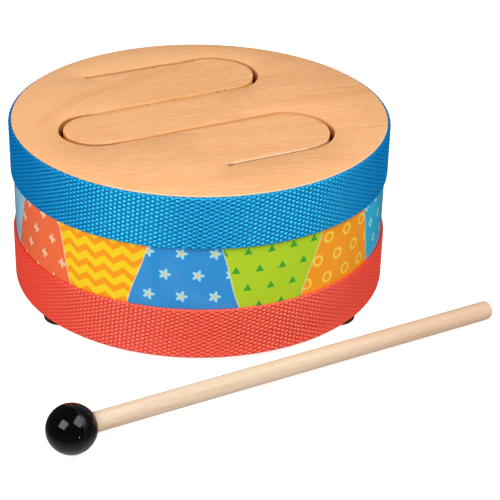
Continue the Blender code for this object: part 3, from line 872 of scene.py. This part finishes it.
# Round the ends: (angle, how far out the inner wall, how far out the outer).
ROUND_REAR = ((90, 0.60, 0.45), (82, 0.65, 0.35), (75, 0.75, 0.75), (67, 1.00, 0.70),
              (60, 1.10, 0.75), (52, 0.45, 0.60), (45, 0.45, 0.27), (37, 0.45, 0.27),
              (30, 0.25, 0.35), (22, 0.15, 0.20), (15, 0.20, 0.20), (7, 0.20, 0.30),
              (0, 0.10, 0.30), (-7, 0.05, 0.32), (-15, 0.05, 0.42), (-22, -0.05, 0.75),
              (-30, -0.10, 0.88), (-37, -0.05, 1.05), (-45, 0.05, 1.12),
              (-52, 0.40, 1.15), (-60, 0.50, 1.25), (-67, 0.30, 1.35),
              (-73, 0.05, 1.25), (-79, -0.15, 0.60), (-85, -0.05, 0.05),
              (-90, 0.00, 0.00))
ROUND_LEFT = ((90, 0.05, 0.05), (97, -0.20, 0.02), (105, -0.15, 0.05),
              (112, -0.20, 0.35), (120, -0.40, 0.45), (127, -0.52, 0.28),
              (142, -0.55, 0.10), (150, -0.60, -0.10), (157, -0.55, -0.18),
              (165, -0.50, -0.12), (172, -0.58, -0.02), (180, -0.58, -0.10),
              (187, -0.05, -0.05), (195, -0.13, -0.10), (210, -0.23, 0.00),
              (225, -0.15, 0.05), (240, -0.15, 0.10), (250, -0.30, -0.02),
              (256, -0.35, -0.20), (263, -0.05, -0.20), (270, 0.15, -0.10))
ROUND_FRONT = ((90, 0.35, 0.18), (84, 0.57, 0.20), (79, 0.90, 0.58), (75, 1.30, 1.28),
               (67, 1.45, 1.23), (60, 1.53, 1.33), (45, 1.55, 1.28), (37, 1.30, 1.08),
               (30, 1.25, 1.13), (22, 1.00, 1.06), (15, 1.00, 0.98), (7, 0.88, 0.73),
               (0, 0.80, 0.56), (-7, 0.50, 0.87), (-15, 0.22, 0.95), (-22, 0.18, 0.73),
               (-30, 0.02, 0.53), (-45, 0.00, 0.27), (-52, 0.42, 0.17),
               (-60, 0.42, 0.13), (-67, 0.22, -0.05), (-75, 0.22, -0.15),
               (-82, 0.10, -0.20), (-90, -0.15, -0.40))


def stray(line):
    """The straight's own wandering, as a function of s."""
    where, far = zip(*STRAY[line])
    return lambda s: float(np.interp(s, where, far))


def stray_round(table, outer):
    """How far out a round end's wall lies, as a function of the angle."""
    rows = sorted(table)
    where = [row[0] for row in rows]
    far = [row[2 if outer else 1] for row in rows]
    return lambda a: float(np.interp(a, where, far))


N1, N2, N3, N4 = LINES
H = SLOT_H
R_REAR, C_REAR = (N1 - N2) / 2, (N1 + N2) / 2
R_MID, C_MID = (N2 - N3) / 2, (N2 + N3) / 2
R_FRONT, C_FRONT = (N3 - N4) / 2, (N3 + N4) / 2
_blind = math.degrees(math.asin(H / BLIND_R))
_in = math.sqrt(BLIND_R ** 2 - H ** 2)

CHIP_REAR_TOP = [(3.3, 1.7, 1.6), (-12.0, 0.9, 0.3), (14.5, 1.1, 0.35)]
CHIP_REAR_LOW = [(-5.2, 1.3, 0.6), (-21.5, 1.2, 0.5), (9.5, 1.0, 0.3),
                 (22.6, 1.6, 0.8), (27.0, 1.2, 0.8)]
CHIP_LEFT = [(-58.0, 1.3, 0.8), (-48.0, 1.2, 0.25), (-40.5, 1.3, 0.25)]
CHIP_MID_LOW = [(-42.0, 1.0, 0.15), (-20.0, 1.4, 0.15), (2.0, 1.0, 0.15)]
L1, L2, L3, L4 = (stray(i) for i in range(4))
S1, S4 = L1(START_S), L4(END_S)               # where the blind ends lie

hole = Outline()
hole.arc(START_S, N1 + S1, BLIND_R, -_blind, -360 + _blind, 1.0, 0.3)
hole.line(START_S + _in, RIGHT_S, N1 + H, 1.0, chips=[(-20.0, 1.4, 0.2), (21.0, 1.1, 0.3)],
          bend=L1)
hole.arc(RIGHT_S, C_REAR, R_REAR + H, 90, -90, 1.0, out=stray_round(ROUND_REAR, True))
hole.line(RIGHT_S, HINGE["middle"], N2 - H, -1.0, chips=[(24.0, 1.2, 0.3)], bend=L2)
hole.joint(HINGE["middle"], N2 - H, N3 + H)
hole.line(HINGE["middle"], RIGHT_S, N3 + H, 1.0, bend=L3)
hole.arc(RIGHT_S, C_FRONT, R_FRONT + H, 90, -90, 1.0, out=stray_round(ROUND_FRONT, True))
hole.line(RIGHT_S, END_S + _in, N4 - H, -1.0, chips=[(12.0, 1.0, 0.2)], bend=L4)
hole.arc(END_S, N4 + S4, BLIND_R, -_blind, -360 + _blind, 1.0, 0.3)
hole.line(END_S + _in, HINGE["front"], N4 + H, 1.0, bend=L4)
hole.joint(HINGE["front"], N4 + H, N3 - H)
hole.line(HINGE["front"], LEFT_S, N3 - H, -1.0, chips=[(-30.0, 1.1, 0.15)], bend=L3)
hole.arc(LEFT_S, C_MID, R_MID + H, -90, -270, 1.0,
         out=lambda a: stray_round(ROUND_LEFT, True)(a + 360.0))
hole.line(LEFT_S, HINGE["rear"], N2 + H, 1.0, chips=CHIP_LEFT, bend=L2)
hole.joint(HINGE["rear"], N2 + H, N1 - H)
hole.line(HINGE["rear"], START_S + _in, N1 - H, -1.0, bend=L1)

rear = Outline()
rear.line(HINGE["rear"], RIGHT_S, N2 + H, 1.0, chips=CHIP_REAR_LOW, bend=L2)
rear.arc(RIGHT_S, C_REAR, R_REAR - H, -90, 90, -1.0, out=stray_round(ROUND_REAR, False))
rear.line(RIGHT_S, HINGE["rear"], N1 - H, -1.0, chips=CHIP_REAR_TOP, bend=L1)
rear.joint(HINGE["rear"], N1 - H, N2 + H)

middle = Outline()
middle.line(HINGE["middle"], LEFT_S, N2 - H, -1.0,
            chips=[(-30.0, 1.2, 0.2), (-8.0, 1.3, 0.2)], bend=L2)
middle.arc(LEFT_S, C_MID, R_MID - H, 90, 270, -1.0, out=stray_round(ROUND_LEFT, False))
middle.line(LEFT_S, HINGE["middle"], N3 + H, 1.0, chips=CHIP_MID_LOW, bend=L3)
middle.joint(HINGE["middle"], N3 + H, N2 - H)

front = Outline()
front.line(HINGE["front"], RIGHT_S, N4 + H, 1.0, chips=[(3.0, 1.1, 0.2)], edge=0.55,
           bend=L4)
front.arc(RIGHT_S, C_FRONT, R_FRONT - H, -90, 90, -1.0,
          out=stray_round(ROUND_FRONT, False))
front.line(RIGHT_S, HINGE["front"], N3 - H, -1.0, chips=[(10.0, 1.0, 0.15)], bend=L3)
front.joint(HINGE["front"], N3 - H, N4 + H)


def wall_rings(points, inward, chip, edge, z0, z1):
    """Levels of a wall from the top face to the bottom face: xy and z."""
    points, inward = np.asarray(points, float), np.asarray(inward, float)
    chip = np.asarray(chip, float)[:, None]
    edge = np.asarray(edge, float)
    step = edge[:, None]
    rows = []
    for grow, share, drop, base in (
            (1.00, 1.00, 0.00, z1), (0.29, 0.95, 0.29, z1), (0.00, 0.85, 1.00, z1),
            (0.00, 0.40, None, z1 - 0.9), (0.00, 0.0, None, z1 - 1.7),
            (0.00, 0.0, -1.00, z0), (1.00, 0.0, 0.00, z0)):
        xy = points + inward * (step * grow + chip * share)
        z = np.full(len(points), base) if drop is None else base - edge * drop
        rows.append(np.column_stack([xy, z]))
    return rows


def slab(outlines, z0, z1, spots=()):
    """A board from outlines: ([points], [inward], [chip], [edge]), the outer one first.
    spots are extra points inside."""
    flat, edges, rings = [], [], []
    for points, inward, chip, edge in outlines:
        rows = wall_rings(points, inward, chip, edge, z0, z1)
        start = len(flat)
        flat.extend(map(tuple, rows[0][:, :2]))
        count = len(rows[0])
        edges += [(start + i, start + (i + 1) % count) for i in range(count)]
        rings.append((start, rows))
    inside = len(flat)
    flat.extend(tuple(s) for s in spots)
    found, _, tris, came_from, _, _ = delaunay_2d_cdt(
        [Vector(p) for p in flat], edges, [], 1, 1e-7)
    # keep the triangles that lie in the wood, by crossings of the outlines
    spot = np.array([[found[i][:] for i in t] for t in tris]).mean(1)
    odd = np.zeros(len(tris), bool)
    for _, rows in rings:
        a = rows[0][:, :2]
        b = np.roll(a, -1, 0)
        for (ax, ay), (bx, by) in zip(a, b):
            span = (ay > spot[:, 1]) != (by > spot[:, 1])
            if ay != by:
                at = (bx - ax) * (spot[:, 1] - ay) / (by - ay) + ax
                odd ^= span & (spot[:, 0] < at)
    tris = [t for t, keep in zip(tris, odd) if keep]
    first = {}
    for i, origin in enumerate(came_from):
        for o in origin:
            first[o] = i
    verts = [(p.x, p.y, z1) for p in found]
    faces = [tuple(t) for t in tris]
    # the bottom face has the same triangles
    low = len(verts)
    bottom = [(p.x, p.y, z0) for p in found]
    for start, rows in rings:
        for i, (x, y, z) in enumerate(rows[-1]):
            bottom[first[start + i]] = (x, y, z)
    verts += bottom
    faces += [tuple(low + v for v in reversed(t)) for t in tris]
    for start, rows in rings:
        count = len(rows[0])
        level = [first[start + i] for i in range(count)]
        for row in rows[1:-1]:
            here = list(range(len(verts), len(verts) + count))
            verts += [tuple(v) for v in row]
            for i in range(count):
                j = (i + 1) % count
                faces.append((level[i], level[j], here[j], here[i]))
            level = here
        here = [low + first[start + i] for i in range(count)]
        for i in range(count):
            j = (i + 1) % count
            faces.append((level[i], level[j], here[j], here[i]))
    return verts, faces


def of_outline(o):
    return plan(o.p), plan(o.n), o.chip, o.edge


def circle(r, count, way, edge, cx=0.0, cy=0.0, uneven=0.0):
    a = np.arange(count) * 2 * math.pi / count
    unit = np.stack([np.cos(a), np.sin(a)], 1)
    rr = r - uneven * (0.5 + wobble(a * 9.0, 1.7, 0.5))[:, None]
    return (unit * rr + (cx, cy), unit * way, [0.0] * count, [edge] * count)


verts, faces = slab([circle(BOARD_R, 480, -1.0, 0.5, uneven=0.05), of_outline(hole)],
                    TOP_Z - BOARD_T, TOP_Z)
add("soundboard_wood", verts, faces, MAT["top"], "drum", "soundboard",
    "beech_plywood")


def inner_spots(outline, gap=1.2, pitch=3.0):
    """A grid of points inside an outline, in the tongues' own axes."""
    o = np.asarray(outline.p)
    out = []
    for s in np.arange(o[:, 0].min() + gap, o[:, 0].max(), pitch):
        for n in np.arange(o[:, 1].min() + gap, o[:, 1].max(), pitch):
            if np.hypot(o[:, 0] - s, o[:, 1] - n).min() < gap:
                continue
            # inside the outline, by crossings
            a, b = o, np.roll(o, -1, 0)
            cross = ((a[:, 1] > n) != (b[:, 1] > n))
            with np.errstate(divide="ignore", invalid="ignore"):
                at = (b[:, 0] - a[:, 0]) * (n - a[:, 1]) / (b[:, 1] - a[:, 1]) + a[:, 0]
            if (cross & (s < at)).sum() % 2:
                out.append((s, n))
    return out


RUN = 15.0                                    # length along a tongue from its root, passed in blend
for which, outline, way in (("rear", rear, 1.0), ("middle", middle, -1.0),
                            ("front", front, 1.0)):
    verts, faces = slab([of_outline(outline)], TOP_Z - BOARD_T, TOP_Z,
                        spots=plan(inner_spots(outline)))
    mid_n = {"rear": C_REAR, "middle": C_MID, "front": C_FRONT}[which]
    root = plan([(HINGE[which], mid_n), (HINGE[which] + way * RUN, mid_n)]) * MM
    z = (TOP_Z - BOARD_T / 2) * MM
    begin = (root[0][0] + AXIS.x, root[0][1] + AXIS.y, z)
    stop = (root[1][0] + AXIS.x, root[1][1] + AXIS.y, z)
    add(which + "_tongue_wood", verts, faces, MAT["top"], None, which + "_tongue",
        "beech_plywood", blend=("drum", "tongue_" + which, begin, stop))

# ------------------------------------------------------- hoops and the base
def ring_profile(r_in, r_out, z0, z1, soft=0.35):
    return fillet([(r_out, z1), (r_out, z0), (r_in, z0), (r_in, z1)],
                  [soft] * 4, 2)


for name, profile in (
        ("shell_hoop", ring_profile(98.4, 102.4, 9.3, 89.9)),
        ("top_lining_hoop", ring_profile(88.5, 98.0, 79.9, 89.9, 0.6)),
        ("bottom_lining_hoop", ring_profile(88.5, 98.0, 9.3, 19.3, 0.6))):
    verts, faces = spin(profile, 240)
    add(name + "_wood", verts, faces, MAT["inner"], "drum", name, "inner_plywood")

drills = []
for angle in FEET.values():
    a = math.radians(angle)
    drills.append(circle(1.8, 24, 1.0, 0.0, FOOT_PCR * math.cos(a),
                         FOOT_PCR * math.sin(a)))
verts, faces = slab([circle(BOARD_R, 360, -1.0, 0.5, uneven=0.05),
                     circle(25.0, 180, 1.0, 0.35, uneven=-0.05)] + drills, 4.0, 9.0)
add("base_board_wood", verts, faces, MAT["base"], "drum", "base_board",
    "inner_plywood")


# ------------------------------------------------------- sleeve and webbings
def strip(r_of, v_list, inner_r, inner_v, count, gap):
    """A strip that goes round once. r_of(u, v) is its outer face, in rows of
    v; the inner face has rows of inner_v. Its ends meet at the back."""
    half = math.pi - gap / 2 / BAND_RI
    a = np.linspace(-half, half, count)
    rows = []
    for v in v_list:
        r, z = r_of(a * BAND_RO, v)
        rows.append(np.column_stack([r * np.sin(a), -r * np.cos(a), z]))
    for v, r in zip(inner_v, inner_r):
        r = np.full(count, r)
        rows.append(np.column_stack([r * np.sin(a), -r * np.cos(a),
                                     np.full(count, v)]))
    verts = np.concatenate(rows)
    n_rows = len(rows)
    faces = []
    for j in range(n_rows):
        k = (j + 1) % n_rows
        one, two = j * count, k * count
        i = np.arange(count - 1)
        faces.append(np.column_stack([one + i, one + i + 1, two + i + 1, two + i]))
    faces = np.concatenate(faces).tolist()
    faces.append([j * count for j in range(n_rows)])
    faces.append([j * count + count - 1 for j in reversed(range(n_rows))])
    return verts, faces


def float_height(u, v, weave):
    """0 in the gaps between floats, 1 on the crown of a float. u and v are in
    millimetres; rows of v are warps, columns of u are picks."""
    warp, lean = weave
    fu, fv = (u - (v - BAND_W / 2) * lean) / PICK, v / warp
    i0, j0 = np.round(fu), np.round(fv)
    best = np.full(np.broadcast(fu, fv).shape, 0.02)
    for di in (-1, 0, 1):
        for dj in (-1, 0, 1):
            i, j = i0 + di, j0 + dj
            on = np.mod(i + j, 2) == 0
            du, dv = (fu - i) * PICK / FLOAT_U, (fv - j) / FLOAT_V
            q = 1 - np.abs(du) ** 2.6 - np.abs(dv) ** 2.0
            h = np.where(on & (q > 0), np.sqrt(np.maximum(q, 0)), 0.0)
            # each float is a little fuller or flatter than the next
            h = h * (1 + 0.07 * np.sin(i * 12.9898 + j * 78.233))
            best = np.maximum(best, h)
    return np.minimum(best, 1.0)


def webbing(name, z0, weave, mat, node, slot, wood_low):
    """wood_low says which edge lies against a board: the base's or the top's.
    There the band is pressed flat on the board's edge, and beyond it on the
    sleeve."""
    per = 4
    rows = 88
    count = N_PICKS * per + 1
    v_list = np.linspace(0.0, BAND_W, rows)
    lap = 2 * math.pi * BAND_RO / 2
    on_wood, on_film = 102.95, 103.12

    def face(u, v):
        d = min(v, BAND_W - v)
        # the strip's own edge is not quite straight
        drift = 0.10 * np.sin(u * 0.031 + z0) + 0.06 * np.sin(u * 0.083 + 2 * z0)
        body = math.sqrt(max(0.0, 1 - (1 - min(d / 0.6, 1.0)) ** 2))
        inner = float_height(u, np.full_like(u, v), weave)
        loop = np.abs(np.cos(math.pi * (u - (v - BAND_W / 2) * weave[1]) / PICK)) ** 0.7
        side = min(1.0, max(0.0, (d - 0.75) / 0.5))
        relief = inner * side + loop * (1 - side) * (0.35 + 0.65 * body) * 0.8
        # the cut ends are sealed flat
        near = np.clip((lap - np.abs(u)) / 1.8, 0.0, 1.0)
        near = near * near * (3 - 2 * near)
        relief = relief * near + 0.50 * (1 - near)
        against = (v < BAND_W / 2) == wood_low
        root = on_wood if against else on_film
        turned = np.abs(u) / BAND_RO
        pull = (np.clip((turned - 0.55) / 0.38, 0.0, 1.0)
                * np.clip((1.58 - turned) / 0.30, 0.0, 1.0))
        stand = RELIEF * (1 - 0.42 * pull * pull * (3 - 2 * pull))
        pad = (1.28 - stand) * body * (0.95 + 0.05 * near)
        r = root + (BAND_RI + pad - root) * min(1.0, 0.15 + body) \
            + stand * relief * (0.4 + 0.6 * body)
        scallop = 0.10 * (1 - loop) * max(0.0, 1 - d / 0.8)
        z = v + np.where(v < BAND_W / 2, scallop, -scallop)
        # edges keep inside the strip's own width
        share = 1 - min(1.0, d / 3.0)
        z = z + np.abs(drift) * share * (1 if v < BAND_W / 2 else -1)
        return np.minimum(r, BAND_RO), z0 + z

    low, high = (on_wood, on_film) if wood_low else (on_film, on_wood)
    step = BAND_W * (0.20 if wood_low else 0.80)
    inside = [(BAND_W - 0.35, high), (step + 0.6, high), (step - 0.6, low),
              (0.35, low)]
    verts, faces = strip(face, v_list, [r for _, r in inside],
                         [z0 + v for v, _ in inside], count, BUTT)
    return add(name, verts, faces, mat, "drum", node, slot, angle=180.0)


webbing("upper_webbing_weave", UPPER_Z, WEAVE["blue"], MAT["blue"], "upper_webbing",
        "blue_webbing", False)
webbing("lower_webbing_weave", LOWER_Z, WEAVE["red"], MAT["red"], "lower_webbing",
        "red_webbing", True)

verts, faces = strip(lambda u, v: (103.0 + 0.0 * u, np.full_like(u, v)),
                     [14.0, 30.0, 50.0, 70.0, 87.0], [102.7] * 5,
                     [87.0, 70.0, 50.0, 30.0, 14.0], 481, BUTT)
add("printed_sleeve_film", verts, faces, MAT["print"], "drum", "printed_sleeve",
    "print_film")


# ----------------------------------------------------------------- the feet
def at(x, y, z=0.0):
    return Matrix.Translation(AXIS + Vector((x, y, z)) * MM)


def cross_head():
    """A pan head screw with a cross recess, from below."""
    head_z0, head_z1 = 0.4, 1.3
    profile = [(0.0, 15.3), (0.5, 14.7), (1.5, 12.3), (1.5, head_z1)]
    profile += [(3.0, head_z1), (3.0, head_z0 + 0.42), (2.93, head_z0 + 0.26),
                (2.72, head_z0 + 0.11), (2.35, head_z0 + 0.02), (2.2, head_z0),
                (1.2, head_z0), (0.0, head_z0)]
    verts, faces = spin(profile, 48, closed=False)
    mesh = bpy.data.meshes.new("screw_head")
    mesh.from_pydata([tuple(c * MM for c in v) for v in verts], [], faces)
    fixed = bmesh.new()
    fixed.from_mesh(mesh)
    bmesh.ops.recalc_face_normals(fixed, faces=fixed.faces)
    fixed.to_mesh(mesh)
    fixed.free()
    holder = bpy.data.objects.new("screw_head_work", mesh)
    scene.collection.objects.link(holder)
    tool_mesh = bpy.data.meshes.new("screw_cross")
    made = bmesh.new()
    for turn in (0.0, math.pi / 2):
        bmesh.ops.create_cube(made, size=1.0, matrix=Matrix.Translation((0, 0, 0.30 * MM))
                              @ Matrix.Rotation(turn, 4, "Z")
                              @ Matrix.Diagonal((3.3 * MM, 0.62 * MM, 1.2 * MM, 1.0)))
    made.to_mesh(tool_mesh)
    made.free()
    tools = bpy.data.objects.new("screw_cross_work", tool_mesh)
    scene.collection.objects.link(tools)
    step = holder.modifiers.new("cross", "BOOLEAN")
    step.operation, step.solver, step.object = "DIFFERENCE", "EXACT", tools
    step.use_self = True
    graph = bpy.context.evaluated_depsgraph_get()
    done = bpy.data.meshes.new_from_object(holder.evaluated_get(graph))
    bpy.data.objects.remove(holder, do_unlink=True)
    bpy.data.objects.remove(tools, do_unlink=True)
    pts = [tuple(c / MM for c in v.co) for v in done.vertices]
    return pts, [tuple(p.vertices) for p in done.polygons]


foot = fillet([(9.6, 3.7), (10.0, 3.7), (9.9, 0.0), (5.2, 0.0), (5.2, 2.4),
               (1.8, 2.4), (1.8, 3.7)], [0.0, 0.3, 1.0, 0.25, 0.2, 0.0, 0.0], 5)
washer = fillet([(4.6, 2.1), (4.6, 1.6), (1.8, 1.6), (1.8, 2.1)],
                [0.12, 0.18, 0.12, 0.0], 3)
screw = cross_head()
for i, (where, angle) in enumerate(FEET.items()):
    a = math.radians(angle)
    x, y = FOOT_PCR * math.cos(a), FOOT_PCR * math.sin(a)
    for part, shape, mat, slot in (
            ("foot", spin(foot, 96), "rubber", "black_rubber"),
            ("foot_washer", spin(washer, 64), "zinc", "zinc_steel"),
            ("foot_screw", screw, "zinc", "zinc_steel")):
        add(f"{part}_{where}_finish", *shape, MAT[mat], "drum", f"{part}_{where}",
            slot, matrix=at(x, y) @ Matrix.Rotation(0.7 + 1.3 * i, 4, "Z"))

# --------------------------------------------------------------- the beater
def ball_profile():
    """From the socket's rim round to the far pole, with the moulding line as a
    fine raised rib beside a shallow groove."""
    rim = STICK_R + 0.3
    start = math.asin((rim + 0.35) / BALL_R)
    out = [(rim, -STICK_DEPTH - 0.3), (rim, math.sqrt(BALL_R ** 2 - rim ** 2) - 0.35)]
    count = 110
    for i in range(count + 1):
        a = start + (math.pi - start) * i / count
        out.append((BALL_R * math.sin(a), BALL_R * math.cos(a)))
    fine = []
    for r, z in out:
        fine.append((r, z))
    # more rows at the moulding line
    for dz in (-0.42, -0.30, -0.20, -0.12, -0.05, 0.0, 0.05, 0.12, 0.20, 0.30, 0.42):
        z = SEAM_Z + dz
        fine.append((math.sqrt(BALL_R ** 2 - z * z), z))
    head = fine[:2]
    body = sorted(fine[2:], key=lambda p: -p[1])
    shaped = []
    for r, z in body:
        far = math.hypot(r, z)
        d = z - SEAM_Z
        drop = 0.075 * math.exp(-((d - 0.10) / 0.10) ** 2)
        rise = 0.0
        if d > 0:
            # the grip half is a hair smaller, and its edge is drawn in
            rise = -0.035 - 0.05 * math.exp(-d / 0.8)
        k = (far - drop + rise) / far if far > 0 else 1.0
        shaped.append((max(0.0, r * k) if r > 1e-6 else 0.0, z * k))
    return head + shaped + [(0.0, -STICK_DEPTH - 0.3)]


profile = ball_profile()
verts, faces = spin(profile, 160, closed=False)
add("mallet_head_gloss", verts, faces, MAT["ball"], "mallet", "mallet_head",
    "black_plastic", matrix=BEATER)


def stick_mesh():
    """The dowel: turned, a touch out of round, with a softened grip end."""
    count = 96
    edge = 1.9
    zs, rs = [], []
    zs.append(-STICK_DEPTH); rs.append(0.0)
    zs.append(-STICK_DEPTH); rs.append(STICK_R - 0.8)
    zs.append(-STICK_DEPTH + 0.8); rs.append(STICK_R)
    for z in np.linspace(2.0, STICK_LEN - edge, 90):
        zs.append(z); rs.append(STICK_R)
    for k in range(1, 9):
        a = math.radians(90 * k / 8)
        zs.append(STICK_LEN - edge + edge * math.sin(a))
        rs.append(STICK_R - edge + edge * math.cos(a))
    # a slightly crowned end face
    for f in (0.8, 0.6, 0.4, 0.2):
        r = (STICK_R - edge) * f
        zs.append(STICK_LEN)
        rs.append(r)
    zs.append(STICK_LEN); rs.append(0.0)
    verts, faces = spin(list(zip(rs, zs)), count, closed=False)
    pts = np.asarray(verts)
    r = np.hypot(pts[:, 0], pts[:, 1])
    a = np.arctan2(pts[:, 1], pts[:, 0])
    z = pts[:, 2]
    dent = (0.5 + 0.5 * np.sin(3 * a + z * 0.021)) * 0.05 \
        + (0.5 + 0.5 * np.sin(2 * a - z * 0.013 + 1.0)) * 0.05
    dent = dent * np.clip(r / STICK_R, 0, 1) ** 4
    k = np.where(r > 1e-9, (r - dent) / np.maximum(r, 1e-9), 1.0)
    pts[:, 0] *= k
    pts[:, 1] *= k
    return pts.tolist(), faces


verts, faces = stick_mesh()
add("mallet_stick_wood", verts, faces, MAT["stick"], "mallet", "mallet_stick",
    "pale_beech", matrix=BEATER, angle=50.0)


# =========================================================================
# Studio: pale floor, two softboxes, camera
# =========================================================================
scene.view_settings.view_transform = "Standard"
scene.view_settings.look = "None"
scene.view_settings.exposure = 0.0
scene.view_settings.gamma = 1.0

BALL_AT = AXIS + Vector((BALL_XY[0], BALL_XY[1], BALL_R)) * MM

floor_mesh = bpy.data.meshes.new("studio_floor")
floor_mesh.from_pydata([(-6, -5, 0), (6, -5, 0), (6, 7, 0), (-6, 7, 0)], [],
                       [(0, 1, 2, 3)])
floor = bpy.data.objects.new("studio_floor", floor_mesh)
scene.collection.objects.link(floor)
floor.location.z = -0.0002
t = Tree("studio_floor")
p = t.place((0, 0, 0), 1.0)
mottle = t.noise(p, scale=3.0, detail=2.0)
path = t.t.nodes.new("ShaderNodeLightPath")
pale = t.mix(mottle, (0.88, 0.88, 0.885), (0.91, 0.91, 0.91))
# the floor's mirror image in glossy things is held back, as a low matt table's
# is, and so is the light that it throws up from far around
fx, fy, fz = t.place(BALL_AT).xyz()
near = (fx * fx + fy * fy).sqrt()                # millimetres from the ball's foot
held = (Val(t, path.outputs["Is Glossy Ray"]) * near.ramp(6.0, 45.0, 0.05, 0.90)).max(
    Val(t, path.outputs["Is Diffuse Ray"]) * 0.15)
t.finish(t.mix(held, pale, (0.0, 0.0, 0.0)), 0.75, Specular_IOR_Level=0.1)
glow = Val(t, path.outputs["Is Camera Ray"]) * 0.80
t.put((1.0, 1.0, 1.0), t.shader.inputs["Emission Color"])
t.put(glow, t.shader.inputs["Emission Strength"])
floor_mesh.materials.append(t.mat)

world = bpy.data.worlds.new("studio")
scene.world = world
world.use_nodes = True
world.node_tree.nodes["Background"].inputs[0].default_value = (1.0, 1.0, 1.0, 1.0)
world.node_tree.nodes["Background"].inputs[1].default_value = 0.06

def softbox(name, towards, distance, width, height, radiance, colour=(1, 1, 1)):
    data = bpy.data.lights.new(name, "AREA")
    data.shape = "RECTANGLE"
    data.size, data.size_y = width, height
    data.energy = radiance * math.pi * width * height
    data.color = colour
    lamp = bpy.data.objects.new(name, data)
    scene.collection.objects.link(lamp)
    d = Vector(towards).normalized()
    lamp.location = BALL_AT + d * distance
    lamp.rotation_mode = "QUATERNION"
    lamp.rotation_quaternion = d.to_track_quat("Z", "Y")
    return lamp


softbox("softbox_left", (-0.508, -0.510, 0.690), 1.60, 1.04, 0.99, 6.9)
softbox("softbox_right", (0.590, -0.200, 0.776), 1.60, 1.14, 0.98, 5.4)

theta, roll = math.radians(28.58), math.radians(1.56)
up0 = Vector((0, math.sin(theta), math.cos(theta)))
forward = Vector((0, math.cos(theta), -math.sin(theta)))
right = Vector((1, 0, 0)) * math.cos(roll) + up0 * math.sin(roll)
up = Vector((1, 0, 0)) * -math.sin(roll) + up0 * math.cos(roll)
data = bpy.data.cameras.new("camera")
data.sensor_fit = "HORIZONTAL"
data.sensor_width = 36.0
data.lens = 111.72
data.clip_start, data.clip_end = 0.01, 50.0
camera = bpy.data.objects.new("camera", data)
scene.collection.objects.link(camera)
camera.matrix_world = Matrix((
    (right.x, up.x, -forward.x, 0.000177),
    (right.y, up.y, -forward.y, -0.738437),
    (right.z, up.z, -forward.z, 0.438694),
    (0, 0, 0, 1)))
scene.camera = camera

bpy.context.view_layer.update()
